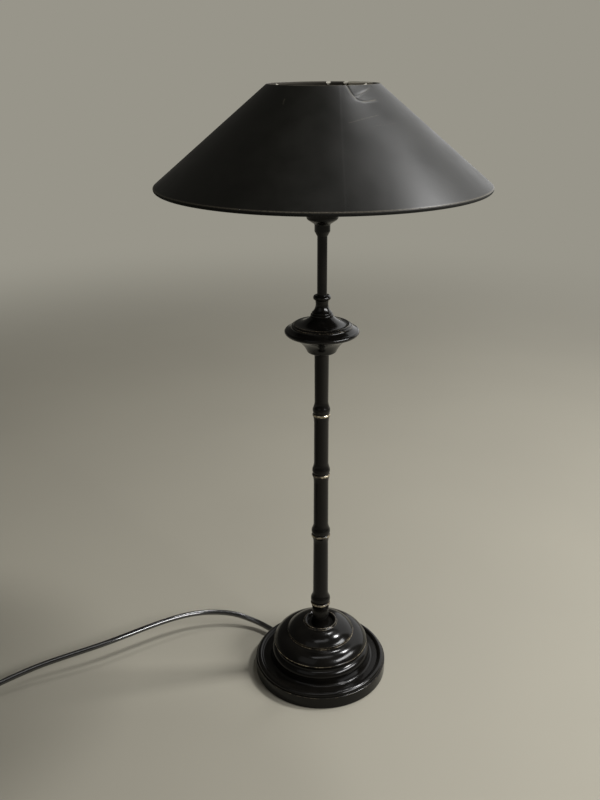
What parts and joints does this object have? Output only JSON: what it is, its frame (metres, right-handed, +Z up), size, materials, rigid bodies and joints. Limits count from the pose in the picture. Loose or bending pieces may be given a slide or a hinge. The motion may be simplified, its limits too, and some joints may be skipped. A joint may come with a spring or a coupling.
{
  "type": "table lamp",
  "caption": "Table lamp with a stepped round foot, turned faux-bamboo stem, saucer knop, bayonet lampholder with push-bar switch and a conical card shade, on a mains cord.",
  "frame": {"origin": "on the floor, under the axis of the stem", "axes": "+Z up along the stem, -Y toward the viewer, +X to the right; the cord leaves the rear left of the foot"},
  "size_m": [0.7464, 0.3137, 0.6422],
  "materials": {
    "lacquered_brass": "black lacquer over brass, glossy, worn to gold at the edges",
    "black_tube": "black lacquered steel tube, glossy",
    "holder_brass": "black finished brass cap",
    "shade_card": "satin black laminated card",
    "shade_wire": "white enamelled steel wire",
    "zinc_steel": "zinc plated steel",
    "brass_fittings": "turned brass",
    "cast_weight": "cast iron, as cast",
    "felt": "green wool felt",
    "phenolic": "moulded black phenolic",
    "switch_plastic": "moulded black plastic",
    "cord_pvc": "black PVC sheath, slight sheen",
    "plug_plastic": "moulded black thermoplastic",
    "spring_steel": "spring wire",
    "lamp_glass": "clear glass",
    "lamp_cap_metal": "drawn aluminium cap",
    "lamp_glass_black": "black vitrified glass insulator",
    "filament": "tungsten filament"
  },
  "bodies": {
    "lamp": {"felt_pad": "felt", "base_plate": "zinc_steel", "plate_screws": "zinc_steel", "base_foot": "lacquered_brass", "base_dome": "lacquered_brass", "base_weight": "cast_weight", "cord_clamp": "zinc_steel", "clamp_screws": "zinc_steel", "rod_washer": "zinc_steel", "rod_nut": "zinc_steel", "tie_rod": "zinc_steel", "cord_gland": "phenolic", "stem_stub": "lacquered_brass", "bamboo_4": "lacquered_brass", "bamboo_3": "lacquered_brass", "bamboo_2": "lacquered_brass", "bamboo_1": "lacquered_brass", "knop_bell": "lacquered_brass", "knop_lower": "lacquered_brass", "knop_upper": "lacquered_brass", "neck_vase": "lacquered_brass", "upper_tube": "black_tube", "holder_cap": "holder_brass", "terminal_block": "phenolic", "terminal_posts": "brass_fittings", "holder_skirt": "phenolic", "plunger_carrier": "phenolic", "plunger_springs": "spring_steel", "cord": "cord_pvc", "cord_tail": "cord_pvc", "cord_coil": "cord_pvc", "inner_flex": "cord_pvc", "plug_body": "plug_plastic", "plug_fuse_carrier": "plug_plastic", "plug_pins": "brass_fittings", "plug_relief": "plug_plastic"},
    "switch_bar": {"push_bar": "switch_plastic"},
    "plungers": {"contact_plungers": "brass_fittings"},
    "bulb": {"bulb_cap": "lamp_cap_metal", "bulb_pins": "brass_fittings", "bulb_insulator": "lamp_glass_black", "bulb_contacts": "spring_steel", "bulb_glass": "lamp_glass", "bulb_mount": "lamp_glass", "bulb_filament": "filament"},
    "ring": {"shade_ring": "phenolic"},
    "carrier": {"shade_carrier": "shade_wire"},
    "shade": {"shade_cone": "shade_card", "shade_bottom_wire": "shade_wire", "shade_top_wire": "shade_wire", "shade_fitter": "shade_wire"}
  },
  "joints": [
    {"name": "switch_slide", "type": "slide", "parent": "lamp", "child": "switch_bar", "axis": [1, 0, 0], "range_m": [0, 0.005]},
    {"name": "bulb_press", "type": "slide", "parent": "lamp", "child": "bulb", "axis": [0, 0, 1], "range_m": [-0.003, 0], "stiffness_N_per_m": 1500, "springref_m": 0.004},
    {"name": "plunger_press", "type": "slide", "parent": "lamp", "child": "plungers", "axis": [0, 0, 1], "range_m": [-0.003, 0], "deforming": ["plunger_springs"]},
    {"name": "carrier_turn", "type": "hinge", "parent": "lamp", "child": "carrier", "pos_m": [0, 0, 0.5403], "axis": [0, 0, 1], "continuous": true},
    {"name": "shade_lift", "type": "slide", "parent": "carrier", "child": "shade", "axis": [0, 0, 1], "range_m": [0, 0.1]},
    {"name": "shade_ring_turn", "type": "hinge", "parent": "lamp", "child": "ring", "pos_m": [0, 0, 0.5444], "axis": [0, 0, 1], "continuous": true}
  ],
  "couplings": [
    {"joint": "plunger_press", "follows": "bulb_press", "ratio": 1}
  ]
}
